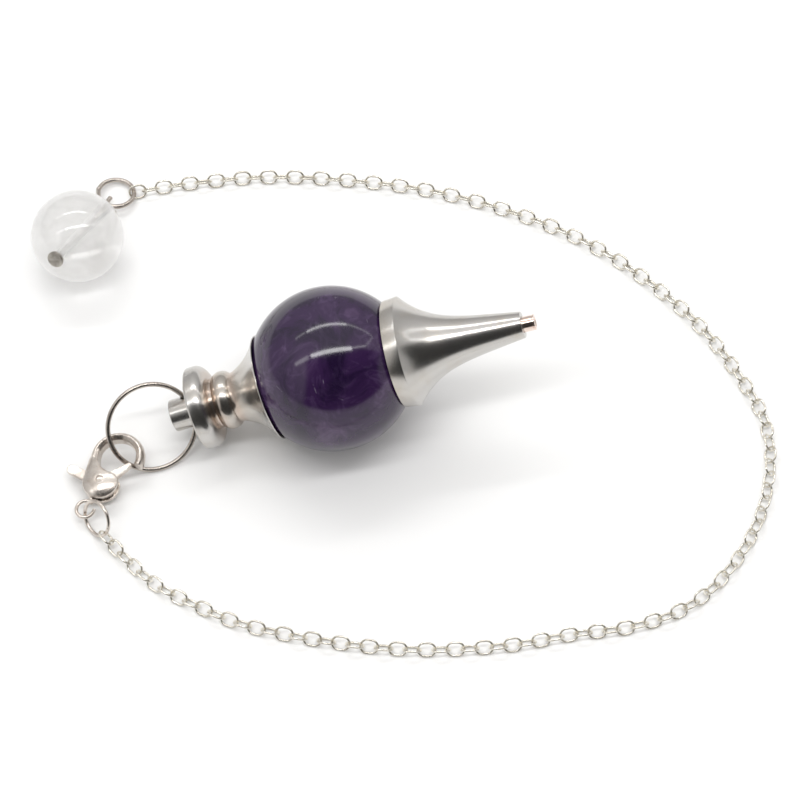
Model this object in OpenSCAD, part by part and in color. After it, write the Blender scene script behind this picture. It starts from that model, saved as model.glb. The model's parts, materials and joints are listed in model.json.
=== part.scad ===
// Pendulum pendant lying on a table: a stone ball between a turned top fitting and a tip cone,
// a carrier ring, a lobster clasp, a jump ring, a fine cable chain and a small end bead.
// Millimetres, +Z up, the table is z = 0 and the origin is the middle of the floor it covers.

/* [Stone ball] */
// Diameter of the stone ball
ball_d = 20; // [17:0.5:24]
// Bore drilled through the ball for the core pin
ball_bore_d = 2.8; // [2.8:0.1:3.4]
// Gap between the ball and the hollow seats of the two fittings
seat_gap = 0.12; // [0.05:0.01:0.3]

/* [Core pin] */
// Diameter of the pin that holds the pendulum together
core_d = 1.9; // [1.5:0.1:2.1]
// Length of the pin that stands out of the cone's end
core_out = 1.5; // [0.5:0.1:3]
// Length of the pin held inside the top fitting, past the end of its cup
core_grip = 1.6; // [1:0.1:2.5]

/* [Top fitting] */
// Outer diameter of the cup's rim
cup_rim_d = 13.1; // [11.5:0.1:14.5]
// Thickness of the cup's rim
cup_rim_wall = 0.25; // [0.2:0.05:0.5]
// Distance from the cup's seat to the neck
neck_rise = 1.9; // [1.6:0.1:3]
// Diameter of the neck and of the groove beside the collar
neck_d = 6.1; // [5:0.1:6.8]
// Length of the neck and of the groove
neck_len = 0.35; // [0.2:0.05:0.8]
// Diameter of the collar between the neck and the groove
collar_d = 7.2; // [6.9:0.1:8.5]
// Length of the collar
collar_len = 2.2; // [1.6:0.1:3]
// Diameter of the flange
flange_d = 10.2; // [9:0.1:11.5]
// Length of the flange
flange_len = 2.5; // [2:0.1:3.2]
// Length of the flange's domed side
flange_dome = 1.4; // [0.8:0.1:1.7]
// Rounding of the flange's outer edge
flange_edge_r = 0.3; // [0.1:0.05:0.5]
// Diameter of the stub that the carrier ring passes through
stub_d = 3.95; // [3.2:0.05:4.6]
// Length of the stub
stub_len = 3.1; // [2.6:0.1:4]
// Diameter of the cross hole in the stub
eye_hole_d = 1.4; // [1.2:0.05:1.6]
// Turn of the cross hole about the pendulum's axis, from straight up towards the back
eye_hole_roll = 41; // [38:1:44]

/* [Tip cone] */
// Outer diameter of the cone's rim at the ball
cone_rim_d = 13; // [11.5:0.1:14]
// Diameter of the cone's shoulder
shoulder_d = 13.4; // [12.2:0.1:15]
// Length of the band between the rim and the shoulder
band_len = 1.7; // [1:0.1:2.5]
// Length of the cone from its shoulder to its end
cone_len = 14.2; // [11:0.1:20]
// Diameter of the cone's small end
cone_end_d = 3.2; // [2.8:0.1:4]

/* [How the pendulum lies] */
// Heading of the pendulum's axis, tip towards the back
lie_heading = 9; // [5:1:14]
// Turn of the tip cone from the top fitting's axis, towards the front
cone_skew = 3.7; // [0:0.1:4]
// Droop of the tip cone from the top fitting's axis
cone_droop = 1.2; // [0:0.1:2]

/* [Carrier ring] */
// Outer diameter of the carrier ring
ring_d = 11.3; // [11:0.1:11.6]
// Wire of the carrier ring
ring_wire = 0.6; // [0.5:0.05:0.7]

/* [Lobster clasp] */
// Radius of the hook's opening
hook_r = 2.3; // [2.1:0.05:2.4]
// Width of the hook's band
hook_w = 1.05; // [0.7:0.05:1.1]
// Thickness of the hook's band
hook_t = 1.9; // [1.5:0.1:2.2]
// Radius of the clasp's round body
body_r = 2.2; // [2.1:0.05:2.3]
// Thickness of the clasp's round body
body_t = 3; // [2.7:0.1:3.2]
// Thickness of the lever
lever_t = 0.7; // [0.5:0.05:0.8]
// Gap between the lever and each wall of its slot
lever_gap = 0.1; // [0.06:0.01:0.15]
// Diameter of the rivet that the lever turns on
rivet_d = 0.8; // [0.6:0.05:1]
// Outer diameter of the curled eye
clasp_eye_d = 2.65; // [2.6:0.05:2.75]
// Wire of the curled eye
clasp_eye_wire = 0.45; // [0.4:0.05:0.5]

/* [Jump ring] */
// Outer diameter of the jump ring
jump_d = 4.75; // [4.7:0.05:4.8]
// Wire of the jump ring
jump_wire = 0.45; // [0.4:0.05:0.5]

/* [Chain] */
// Length of a chain link
link_l = 2.4; // [2.3:0.05:2.8]
// Width of a chain link
link_w = 1.9; // [1.6:0.05:2.1]
// Wire of a chain link
link_wire = 0.28; // [0.22:0.01:0.3]
// Free play between two links of the chain
link_play = 0.14; // [0.1:0.01:0.25]

/* [End bead] */
// Diameter of the end bead
bead_d = 11.6; // [10:0.1:13]
// Bore drilled through the bead
bead_bore_d = 0.9; // [0.8:0.05:1.4]
// Wire of the bead's pin
pin_wire = 0.6; // [0.5:0.05:0.7]
// Diameter of the pin's flat head
pin_head_d = 2.1; // [1.5:0.1:3]
// Thickness of the pin's flat head
pin_head_t = 0.4; // [0.3:0.05:0.8]
// Outer diameter of the pin's turned eye
pin_eye_d = 5.2; // [4.6:0.1:5.8]
// Distance from the bead to the middle of the pin's eye
pin_reach = 5.85; // [5:0.05:7]

/* [Hidden] */

// Small clearances between pieces that touch on the real pendant
core_fit = 0.05;
rivet_fit = 0.05;
rivet_press = 0.02;
head_fit = 0.03;
wire_fit = 0.06;

ball_r = ball_d / 2;
seat_r = ball_r + seat_gap;
core_r = core_d / 2;

// Where the pendulum, the clasp and the bead lie on the table
ball_at = [-8.1, -0.6, ball_r];
bead_at = [-40.3, 21.1, bead_d / 2];

// Turning of a point by the angles of rotate(a)
function turn_x(p, a) = [p.x, p.y * cos(a) - p.z * sin(a), p.y * sin(a) + p.z * cos(a)];
function turn_y(p, a) = [p.x * cos(a) + p.z * sin(a), p.y, p.z * cos(a) - p.x * sin(a)];
function turn_z(p, a) = [p.x * cos(a) - p.y * sin(a), p.x * sin(a) + p.y * cos(a), p.z];
function turned(p, a) = turn_z(turn_y(turn_x(p, a.x), a.y), a.z);

function unit(v) = v / norm(v);

// Points of an arc about [x, y], from angle a0 to a1
function arc(x, y, r, a0, a1, steps) =
    [for (i = [0:steps]) let (a = a0 + (a1 - a0) * i / steps) [x + r * cos(a), y + r * sin(a)]];

// Points of a shallow arc from p to q that bulges by sag to the right of the way from p to q
function bow(p, q, sag, steps) =
    let (half = norm(q - p) / 2, r = (half * half + sag * sag) / (2 * sag),
         along = (q - p) / (2 * half), out = [along.y, -along.x],
         mid = (p + q) / 2 - out * (r - sag), spread = asin(half / r))
    [for (i = [0:steps]) let (a = spread * (2 * i / steps - 1)) mid + r * (along * sin(a) + out * cos(a))];

// Sections of the top fitting along its axis, from the ball's centre
cup_in_r = cup_rim_d / 2 - cup_rim_wall;
z_rim = sqrt(seat_r * seat_r - cup_in_r * cup_in_r);
z_neck = seat_r + neck_rise;
z_collar = z_neck + neck_len;
z_groove = z_collar + collar_len;
z_flange = z_groove + neck_len;
z_face = z_flange + flange_len;
z_stub = z_face + stub_len;
z_hole = z_face + 0.1 + eye_hole_d / 2;
stub_chamfer = 0.15;
cup_hollow = 0.45;
collar_sag = (collar_d - neck_d) / 2;

// The ball and the flange's edge both rest on the table, which sets the pendulum's tilt
edge_z = z_face - flange_edge_r;
edge_r = flange_d / 2 - flange_edge_r;
lie_tilt = asin((ball_r - flange_edge_r) / norm([edge_z, edge_r])) - atan2(edge_r, edge_z);
top_turn = [0, -90 - lie_tilt, lie_heading];
cone_turn = [0, 90 - lie_tilt + cone_droop, lie_heading - cone_skew];

// Sections of the tip cone along its axis, from the ball's centre
cone_in_r = cone_rim_d / 2 - cup_rim_wall;
z_cone_rim = sqrt(seat_r * seat_r - cone_in_r * cone_in_r);
z_shoulder = z_cone_rim + band_len;
z_cone_end = z_shoulder + cone_len;
cone_flare = 0.6;
cone_steps = 14;

// The carrier ring runs through the cross hole and swings until it rests on the table
ring_r = ring_d / 2 - ring_wire / 2;
ring_sag = ring_r - sqrt(ring_r * ring_r - stub_d * stub_d / 4);
z_pass = z_hole - ring_sag / 2;
pass_at = ball_at + turned([0, 0, z_pass], top_turn);
pass_rise = (pass_at.z - ring_wire / 2) / ring_r;
hole_rise = cos(eye_hole_roll) * cos(lie_tilt);
ring_rise = (pass_rise * pass_rise - hole_rise * hole_rise) / (2 * pass_rise);
swing_full = norm([sin(lie_tilt), sin(eye_hole_roll) * cos(lie_tilt)]);
ring_swing = acos(ring_rise / swing_full)
    - atan2(sin(eye_hole_roll) * cos(lie_tilt), sin(lie_tilt));
function ring_to_world(p) =
    pass_at + turned(turned(p, [ring_swing, 0, eye_hole_roll]), top_turn);
function ring_point(a) = ring_to_world([ring_r * sin(a), 0, ring_r * (1 - cos(a))]);

// The clasp's own frame: the rivet is the origin, x to the gate, y to the hook, z up through it
clasp_turn = [5, -6, -20.5];
clasp_pass_angle = 200;
clasp_pass = [0.67, 3.96, 0.21];
clasp_at = ring_point(clasp_pass_angle) - turned(clasp_pass, clasp_turn);
hook_at = [0.68, 3.7];
hook_mid_r = hook_r + hook_w / 2;
hook_tip_angle = -6;
hook_end_angle = 200;
spine_low = [-1.75, 2.5];
spine_low_r = 0.95;
spine_high = [-1.8, 4.1];
spine_high_r = 0.8;
body_edge_t = 1.7;
mouth_way = [0.626, 0.78];
mouth_off = 1.91;
slot_t = lever_t + 2 * lever_gap;
lever_hub_r = 0.95;
lever_fan = [-70, 50];
lever_fan_in = 0.25;
gate_tip = [2.38, 3.2];
gate_tip_r = 0.3;
tab_tip = [-4.2, 0.65];
tab_r = 0.6;
clasp_eye_r = (clasp_eye_d - clasp_eye_wire) / 2;
clasp_eye_at = [-0.62, -body_r - 1.5];
clasp_eye_start = 65;
clasp_eye_sweep = 312;

// The jump ring passes the clasp's eye and leans with its low side under it
jump_r = (jump_d - jump_wire) / 2;
jump_turn = [0, 62.4, 218.4];
jump_thread_angle = -74.7;
jump_thread = [0.04, -0.2, 0.24];
jump_chain_angle = 64;
eye_at = clasp_at + turned([clasp_eye_at.x, clasp_eye_at.y, 0], clasp_turn);
function around(r, a) = [r * cos(a), r * sin(a), 0];
jump_at = eye_at + jump_thread - turned(around(jump_r, jump_thread_angle), jump_turn);
jump_chain_at = jump_at + turned(around(jump_r, jump_chain_angle), jump_turn);

// The bead's pin points down its bore to an eye that lies on the table
pin_r = pin_wire / 2;
pin_eye_r = pin_eye_d / 2 - pin_r;
pin_heading = 23.5;
pin_eye_tilt = 9;
pin_eye_side = -0.24;
pin_eye_lift = 0.25;
pin_eye_start = 205;
pin_eye_sweep = 308;
pin_eye_z = pin_r + pin_eye_lift + pin_eye_r * sin(pin_eye_tilt);
pin_far = bead_d / 2 + pin_reach;
pin_dip = asin((bead_d / 2 - pin_eye_z) / pin_far);
bore_turn = [-90 - pin_dip, 0, -pin_heading];
eye_turn = [-pin_eye_tilt, 0, -pin_heading];
pin_out_at = bead_at + turned([0, 0, bead_d / 2 + 0.4], bore_turn);
pin_eye_at = bead_at + turned([0, 0, pin_far], bore_turn)
    + turned([pin_eye_side, 0, 0], [0, 0, -pin_heading]);
function pin_eye_point(a) = pin_eye_at + turned(around(pin_eye_r, a), eye_turn);
pin_chain_angle = 30;
pin_chain_at = pin_eye_point(pin_chain_angle);

// One link: sections of wire round each end, a pentagon each
link_bend_r = (link_w - link_wire) / 2;
link_half = (link_l - link_w) / 2;
link_lie = link_bend_r * sin(45) + link_wire / 2;
link_sides = 5;
link_end_step = 45;
end_sections = floor(180 / link_end_step) + 1;
function link_point(k, j) =
    let (front = k < end_sections, b = 360 * j / link_sides,
         a = (front ? -90 : 90) + 180 * (k % end_sections) / (end_sections - 1),
         out = link_bend_r + link_wire / 2 * cos(b))
    [(front ? link_half : -link_half) + out * cos(a), out * sin(a), link_wire / 2 * sin(b)];

// The chain's route over the table, from the jump ring to the bead's eye
route = [[jump_chain_at.x, jump_chain_at.y], [-32.6, -21.6], [-28.9, -25], [-23.5, -28],
         [-17.5, -30.5], [-8, -32.5], [2, -33.5], [12.5, -33], [20.5, -31.5], [27.5, -30.5],
         [34, -28], [39, -23.5], [43, -17], [45, -10], [45, -3.5], [43, 2], [38, 10.5], [31, 18],
         [23, 24], [13.5, 28.5], [3.5, 31.5], [-6.5, 33], [-17, 33.5], [-27, 32.5],
         [pin_chain_at.x, pin_chain_at.y]];
route_steps = 10;
first_hold = 0.5;
last_hold = 0.48;
slope_len = 6;

// Smooth curve through the route's points
function bend(p, q, r, s, t) =
    (2 * q + (r - p) * t + (2 * p - 5 * q + 4 * r - s) * t * t
     + (3 * q - p - 3 * r + s) * t * t * t) / 2;
last = len(route) - 1;
flat_track = [for (i = [0:last - 1], k = [0:route_steps - 1])
    bend(route[max(i - 1, 0)], route[i], route[i + 1], route[min(i + 2, last)], k / route_steps)];
flat_run = run(concat(flat_track, [route[last]]));
function run(pts) =
    [for (i = 0, s = 0; i < len(pts); s = s + norm(pts[min(i + 1, len(pts) - 1)] - pts[i]), i = i + 1)
        [s, pts[i]]];

// The chain comes down from the wires that hold its two ends
flat_len = flat_run[len(flat_run) - 1][0];
function height(s) = link_lie
    + (jump_chain_at.z - link_lie) * pow(max(0, 1 - s / slope_len), 2)
    + (pin_chain_at.z - link_lie) * pow(max(0, 1 - (flat_len - s) / slope_len), 2);
track = run([for (v = flat_run) [v[1].x, v[1].y, height(v[0])]]);
track_len = track[len(track) - 1][0] - first_hold - last_hold;
function track_at(s) = [for (c = [0:2]) lookup(s + first_hold, [for (v = track) [v[0], v[1][c]]])];
links = ceil(track_len / (link_l - 2 * link_wire - link_play)) + 1;
pitch = track_len / (links - 1);

module torus(mid_r, wire_r, sweep = 360, sides = 24) {
    rotate_extrude(angle = sweep, $fn = 72)
        translate([mid_r, 0]) circle(r = wire_r, $fn = sides);
}

module stone_ball() {
    color([0.24, 0.17, 0.32])
        translate(ball_at) difference() {
            sphere(r = ball_r, $fn = 96);
            rotate((cone_turn + [0, 90 - lie_tilt, lie_heading]) / 2)
                cylinder(d = ball_bore_d, h = 3 * ball_r, center = true, $fn = 48);
        }
}

// The pin bends a little in the ball's centre, where the fittings' two axes meet
module core_pin() {
    color([0.80, 0.70, 0.66])
        translate(ball_at) {
            sphere(r = core_r, $fn = 48);
            rotate(top_turn) cylinder(r = core_r, h = z_neck + core_grip, $fn = 48);
            rotate(cone_turn) cylinder(r = core_r, h = z_cone_end + core_out, $fn = 48);
        }
}

top_profile = concat(
    [[0, z_rim], [cup_in_r, z_rim]],
    bow([cup_rim_d / 2, z_rim], [neck_d / 2, z_neck], -cup_hollow, 6),
    [[neck_d / 2, z_neck]],
    bow([neck_d / 2, z_collar], [neck_d / 2, z_groove], collar_sag, 8),
    [for (i = [0:6]) let (a = 15 * i)
        [neck_d / 2 + (flange_d - neck_d) / 2 * sin(a), z_flange + flange_dome * (1 - cos(a))]],
    arc(edge_r, edge_z, flange_edge_r, 0, 90, 3),
    [[stub_d / 2, z_face], [stub_d / 2, z_stub - stub_chamfer], [stub_d / 2 - stub_chamfer, z_stub],
     [0, z_stub]]);

module top_fitting() {
    color([0.80, 0.79, 0.77])
        translate(ball_at) difference() {
            rotate(top_turn) difference() {
                rotate_extrude($fn = 96) polygon(top_profile);
                cylinder(r = core_r + core_fit, h = z_neck + core_grip + core_fit, $fn = 48);
                translate([0, 0, z_hole]) rotate([0, 90, eye_hole_roll])
                    cylinder(d = eye_hole_d, h = 2 * stub_d, center = true, $fn = 32);
            }
            sphere(r = seat_r, $fn = 96);
        }
}

cone_profile = concat(
    [[0, z_cone_rim], [cone_in_r, z_cone_rim], [cone_rim_d / 2, z_cone_rim]],
    [for (i = [0:cone_steps]) let (t = i / cone_steps, left = 1 - t)
        [cone_end_d / 2 + (shoulder_d - cone_end_d) / 2
            * (cone_flare * pow(left, 5) + (1 - cone_flare) * left), z_shoulder + cone_len * t]],
    [[0, z_cone_end]]);

module tip_cone() {
    color([0.80, 0.79, 0.77])
        translate(ball_at) difference() {
            rotate(cone_turn) difference() {
                rotate_extrude($fn = 96) polygon(cone_profile);
                cylinder(r = core_r + core_fit, h = z_cone_end + 1, $fn = 48);
            }
            sphere(r = seat_r, $fn = 96);
        }
}

module carrier_ring() {
    color([0.55, 0.52, 0.50])
        translate(pass_at) rotate(top_turn) rotate([ring_swing, 0, eye_hole_roll])
            translate([0, 0, ring_r]) rotate([90, 0, 0]) torus(ring_r, ring_wire / 2);
}

// Frame of the clasp, for its own pieces
module in_clasp() {
    translate(clasp_at) rotate(clasp_turn) children();
}

// Section of the hook's band, rounded outside and flat inside
module hook_section() {
    polygon(concat(
        [[hook_r, -hook_t * 0.3], [hook_r, hook_t * 0.3]],
        [for (a = [90:-20:-90]) [hook_mid_r + hook_w / 2 * cos(a), hook_t / 2 * sin(a)]]));
}

module clasp_dome() {
    sag = (body_t - body_edge_t) / 2;
    dome_r = (body_r * body_r + sag * sag) / (2 * sag);
    side = arc(0, body_t / 2 - dome_r, dome_r, 90 - asin(body_r / dome_r), 90, 6);
    rotate_extrude($fn = 32)
        polygon(concat(side, [[0, -body_t / 2]], [for (i = [5:-1:0]) [side[i].x, -side[i].y]]));
}

// Domed body and the spine that leads to the hook, cut straight along the mouth
module clasp_shell() {
    difference() {
        hull() {
            clasp_dome();
            translate(spine_low) sphere(r = spine_low_r, $fn = 24);
            translate(spine_high) sphere(r = spine_high_r, $fn = 24);
        }
        rotate([0, 0, atan2(mouth_way.y, mouth_way.x)])
            translate([mouth_off, -10, -5]) cube([10, 20, 10]);
    }
}

// Room that the lever needs between the two shells, open to the gate, the tab and the end
module lever_slot() {
    linear_extrude(height = slot_t, center = true)
        polygon([[-3.8, 1.75], [-1.35, 1.3], [-1.3, 2.2], [-0.9, 3.1], [0.5, 4], [3.2, 3.3],
                 [3.2, -3], [0.1, -3], [-0.7, -1.2], [-3.8, -1.35]]);
}

module clasp_body() {
    neck_from = [-0.6, -body_r + 0.35, 0];
    neck_to = [clasp_eye_at.x + clasp_eye_r * cos(clasp_eye_start),
               clasp_eye_at.y + clasp_eye_r * sin(clasp_eye_start), 0];
    color([0.78, 0.75, 0.72])
        in_clasp() {
            difference() {
                clasp_shell();
                lever_slot();
                translate([hook_at.x, hook_at.y, 0])
                    cylinder(r = hook_r + 0.05, h = 2 * body_t, center = true, $fn = 72);
                cylinder(d = rivet_d + 2 * rivet_press, h = 2 * body_t, center = true, $fn = 32);
            }
            translate(hook_at) rotate([0, 0, hook_tip_angle])
                rotate_extrude(angle = hook_end_angle - hook_tip_angle, $fn = 72)
                    hook_section();
            translate(clasp_eye_at) rotate([0, 0, clasp_eye_start])
                torus(clasp_eye_r, clasp_eye_wire / 2, clasp_eye_sweep, 16);
            hull() {
                translate(neck_from) sphere(r = 0.36, $fn = 16);
                translate(neck_to) sphere(d = clasp_eye_wire, $fn = 16);
            }
        }
}

module clasp_rivet() {
    color([0.70, 0.68, 0.66])
        in_clasp() cylinder(d = rivet_d, h = body_t - 0.1, center = true, $fn = 32);
}

module clasp_lever() {
    color([0.80, 0.77, 0.73])
        in_clasp() difference() {
            union() {
                cylinder(r = lever_hub_r, h = lever_t, center = true, $fn = 48);
                linear_extrude(height = lever_t, center = true)
                    polygon(concat([[0, 0]], arc(0, 0, body_r - lever_fan_in, lever_fan[0], lever_fan[1], 12)));
                limb(lever_hub_r - 0.1, gate_tip, gate_tip_r);
                limb(0.6, tab_tip, tab_r);
            }
            cylinder(d = rivet_d + 2 * rivet_fit, h = body_t, center = true, $fn = 32);
        }
}

// Flat limb of the lever, from the hub to a rounded end at a point
module limb(root_r, tip, tip_r) {
    side = [-unit(tip).y, unit(tip).x];
    linear_extrude(height = lever_t, center = true)
        polygon([side * root_r, tip + side * tip_r, tip - side * tip_r, -side * root_r]);
    translate(tip) cylinder(r = tip_r + 0.01, h = lever_t, center = true, $fn = 32);
}

module jump_ring() {
    color([0.72, 0.68, 0.64])
        translate(jump_at) rotate(jump_turn) torus(jump_r, jump_wire / 2);
}

module bead_pin() {
    start_at = pin_eye_point(pin_eye_start);
    color([0.66, 0.63, 0.60]) {
        translate(bead_at) rotate(bore_turn) {
            translate([0, 0, -bead_d / 2 - head_fit - pin_head_t])
                cylinder(d = pin_head_d, h = pin_head_t, $fn = 32);
            translate([0, 0, -bead_d / 2 - head_fit - pin_head_t / 2])
                cylinder(r = pin_r, h = bead_d + 0.4 + head_fit + pin_head_t / 2, $fn = 24);
        }
        translate(pin_out_at) sphere(r = pin_r + 0.02, $fn = 24);
        rod(pin_out_at, start_at, pin_r);
        translate(start_at) sphere(r = pin_r + 0.02, $fn = 24);
        translate(pin_eye_at) rotate(eye_turn) rotate([0, 0, pin_eye_start - pin_eye_sweep])
            torus(pin_eye_r, pin_r, pin_eye_sweep);
    }
}

// Round rod from one point to another
module rod(from, to, r) {
    way = to - from;
    translate(from) rotate([0, acos(way.z / norm(way)), atan2(way.y, way.x)])
        cylinder(r = r, h = norm(way), $fn = 24);
}

module end_bead() {
    color([0.90, 0.90, 0.89, 0.6])
        translate(bead_at) difference() {
            sphere(d = bead_d, $fn = 96);
            rotate(bore_turn)
                cylinder(d = bead_bore_d, h = 2 * bead_d, center = true, $fn = 32);
        }
}

module chain() {
    n = 2 * end_sections;
    m = link_sides;
    points = [for (i = [0:links - 1])
        let (s = i * pitch, at = track_at(s),
             along = unit(track_at(s + pitch / 2) - track_at(s - pitch / 2)),
             side = unit([-along.y, along.x, 0]), up = cross(along, side),
             normal = unit(up + (i % 2 == 0 ? 1 : -1) * side), across = cross(normal, along))
        for (k = [0:n - 1], j = [0:m - 1])
            let (p = link_point(k, j)) at + along * p.x + across * p.y + normal * p.z];
    faces = [for (i = [0:links - 1], k = [0:n - 1], j = [0:m - 1])
        let (a = i * n * m, k2 = (k + 1) % n, j2 = (j + 1) % m)
        for (f = [[k * m + j, k * m + j2, k2 * m + j2], [k * m + j, k2 * m + j2, k2 * m + j]])
            [a + f[0], a + f[1], a + f[2]]];
    color([0.78, 0.76, 0.72]) polyhedron(points, faces);
}

stone_ball();
top_fitting();
tip_cone();
core_pin();
carrier_ring();
clasp_body();
clasp_rivet();
clasp_lever();
jump_ring();
chain();
bead_pin();
end_bead();
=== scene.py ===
# %% [markdown]
# # A pendulum pendant on a pale table
# The pendant is a dark violet stone ball held between a turned top fitting and a long tip cone.
# A wire ring, a lobster clasp, a jump ring and a fine cable chain lead to a small foggy end bead.
# Every piece could be drawn by eye, but then it would drift away from the measured model. Here the
# measured model is loaded first as a fixed frame, and each finer piece is made around it.

# %% Load the frame
import json
import math

import bmesh
import bpy
import numpy as np
from mathutils import Euler, Matrix, Vector


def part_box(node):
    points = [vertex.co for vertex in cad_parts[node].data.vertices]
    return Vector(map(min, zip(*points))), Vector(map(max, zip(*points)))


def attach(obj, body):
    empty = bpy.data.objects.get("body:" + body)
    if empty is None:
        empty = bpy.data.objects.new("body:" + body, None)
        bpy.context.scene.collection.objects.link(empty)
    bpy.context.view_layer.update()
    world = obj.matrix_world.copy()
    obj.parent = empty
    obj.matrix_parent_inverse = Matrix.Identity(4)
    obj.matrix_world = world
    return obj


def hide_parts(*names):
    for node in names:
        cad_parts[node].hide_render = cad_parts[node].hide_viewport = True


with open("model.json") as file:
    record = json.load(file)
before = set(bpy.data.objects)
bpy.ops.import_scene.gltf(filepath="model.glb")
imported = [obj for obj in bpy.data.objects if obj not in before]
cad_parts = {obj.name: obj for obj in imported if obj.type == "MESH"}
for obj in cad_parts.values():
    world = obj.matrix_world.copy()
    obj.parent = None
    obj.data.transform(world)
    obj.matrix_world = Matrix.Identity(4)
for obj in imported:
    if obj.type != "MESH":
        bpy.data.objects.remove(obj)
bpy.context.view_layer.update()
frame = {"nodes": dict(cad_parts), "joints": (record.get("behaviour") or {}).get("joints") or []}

# %% [markdown]
# ## Millimetres
# Jewellery is measured in millimetres, and Blender counts in metres. Scaling every object would
# leave odd scales behind, so shapes are worked out in millimetres and turned to metres only when
# their mesh is written. The same goes for surface patterns, whose coordinates are scaled up.

# %% Millimetres and angles
MM = 0.001


def turning(x_deg, y_deg, z_deg):
    """Matrix that turns about X, then Y, then Z."""
    return Euler([math.radians(a) for a in (x_deg, y_deg, z_deg)], "XYZ").to_matrix()


def node_points(name):
    """The corners of a frame node in millimetres, each place once."""
    points = np.array([v.co[:] for v in frame["nodes"][name].data.vertices]) / MM
    return np.unique(points.round(4), axis=0)


def farthest_way(name, start, margin=0.02):
    """Unit vector from a point to the middle of the node's ring of farthest corners."""
    points = node_points(name) - np.array(start)
    reach = np.linalg.norm(points, axis=1)
    end = points[reach > reach.max() - margin].mean(axis=0)
    return Vector(end / np.linalg.norm(end))


def box_middle(name):
    """Centre of a node's box and half of its height, in millimetres."""
    low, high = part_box(name)
    return (Vector(low) + Vector(high)) / 2 / MM, (high[2] - low[2]) / 2 / MM


# %% [markdown]
# ## The camera
# The photograph looks down at the table from the front. A long lens keeps the small round shapes
# free of distortion. The camera could be parented to a target, but one turn about X is all that
# this view needs, so it is placed by its distance and its angle above the table.

# %% Camera
VIEW_ELEVATION = 60
VIEW_DISTANCE = 370.37
VIEW_TARGET = Vector((0.1, 0.8, 0))
LENS = 135
SENSOR = 36

camera_data = bpy.data.cameras.new("camera")
camera_data.lens = LENS
camera_data.sensor_width = SENSOR
camera = bpy.data.objects.new("camera", camera_data)
bpy.context.scene.collection.objects.link(camera)
elevation = math.radians(VIEW_ELEVATION)
step_back = Vector((0, -math.cos(elevation), math.sin(elevation))) * VIEW_DISTANCE
camera.location = (VIEW_TARGET + step_back) * MM
camera.rotation_euler = (math.pi / 2 - elevation, 0, 0)
bpy.context.scene.camera = camera
print("camera stands at", [round(c, 4) for c in camera.location])

# %% [markdown]
# ## Meshes from points
# Most pieces are either turned on a lathe or bent from wire. A screw modifier or a curve bevel could
# make both, but edges and ends are easier to control when the rings of points are written directly.
# One helper builds an object from points and faces and turns the face normals outward. Edges sharper
# than its crease angle stay sharp, and all the others are shaded as if they were round.


# %% Object from points and faces
def solid_object(name, points, faces, crease_deg=35):
    """New mesh object from points in millimetres, smooth apart from edges sharper than the crease."""
    mesh = bpy.data.meshes.new(name)
    mesh.from_pydata([Vector(p) * MM for p in points], [], faces)
    shape = bmesh.new()
    shape.from_mesh(mesh)
    bmesh.ops.recalc_face_normals(shape, faces=shape.faces)
    shape.to_mesh(mesh)
    shape.free()
    mesh.shade_smooth()
    mesh.set_sharp_from_angle(angle=math.radians(crease_deg))
    obj = bpy.data.objects.new(name, mesh)
    bpy.context.scene.collection.objects.link(obj)
    print(f"{name}: {len(mesh.vertices)} points, {len(mesh.polygons)} faces")
    return obj


# %% [markdown]
# ## A lathe
# The ball, the fitting, the cone, the pin and the bead are all round about one axis. The lathe takes
# an outline of stations along the axis with a radius for each, and turns it into rings of points. An
# outline that closes on itself leaves a bore. One that starts and ends at radius 0 is solid.

# %% Lathe
TURN_STEPS = 192
NO_RADIUS = 1e-6


def lathe(name, profile, centre, axis, closed=False, steps=TURN_STEPS):
    """Turns a profile of (station, radius) about an axis. A closed profile leaves a bore."""
    side = axis.orthogonal().normalized()
    other = axis.cross(side)
    points, rings = [], []
    for station, radius in profile:
        middle = centre + axis * station
        if radius < NO_RADIUS:
            rings.append([len(points)] * steps)
            points.append(middle)
            continue
        rings.append(list(range(len(points), len(points) + steps)))
        for k in range(steps):
            a = 2 * math.pi * k / steps
            points.append(middle + (side * math.cos(a) + other * math.sin(a)) * radius)
    pairs = list(zip(rings, rings[1:] + ([rings[0]] if closed else [])))
    faces = []
    for low, high in pairs:
        for k in range(steps):
            n = (k + 1) % steps
            corners = [low[k], low[n], high[n], high[k]]
            face = [c for i, c in enumerate(corners) if c not in corners[:i]]
            if len(face) > 2:
                faces.append(face)
    return solid_object(name, points, faces)


# %% [markdown]
# ## Outlines with softened edges
# No real edge is perfectly sharp, and it is the small rounding that catches the light. A bevel
# modifier would round every edge by the same amount. Here each corner of an outline carries its own
# rounding, and two more helpers draw the shallow bows and the hollow seats that a lathe tool cuts.


# %% Outlines with softened edges
def soften(corners, steps=5):
    """Outline through (station, radius, rounding) corners, with each corner cut to a small arc."""
    outline = []
    for i, (z, r, rounding) in enumerate(corners):
        here = Vector((z, r))
        if not rounding or i in (0, len(corners) - 1):
            outline.append((z, r))
            continue
        before = (Vector(corners[i - 1][:2]) - here).normalized()
        after = (Vector(corners[i + 1][:2]) - here).normalized()
        half = before.angle(after) / 2
        cut = rounding / math.tan(half)
        middle = here + (before + after).normalized() * (rounding / math.sin(half))
        start, end = here + before * cut - middle, here + after * cut - middle
        turn = start.angle(end)
        for k in range(steps + 1):
            t = k / steps
            way = (start * math.sin((1 - t) * turn) + end * math.sin(t * turn)) / math.sin(turn)
            outline.append(tuple(middle + way))
    return outline


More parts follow.
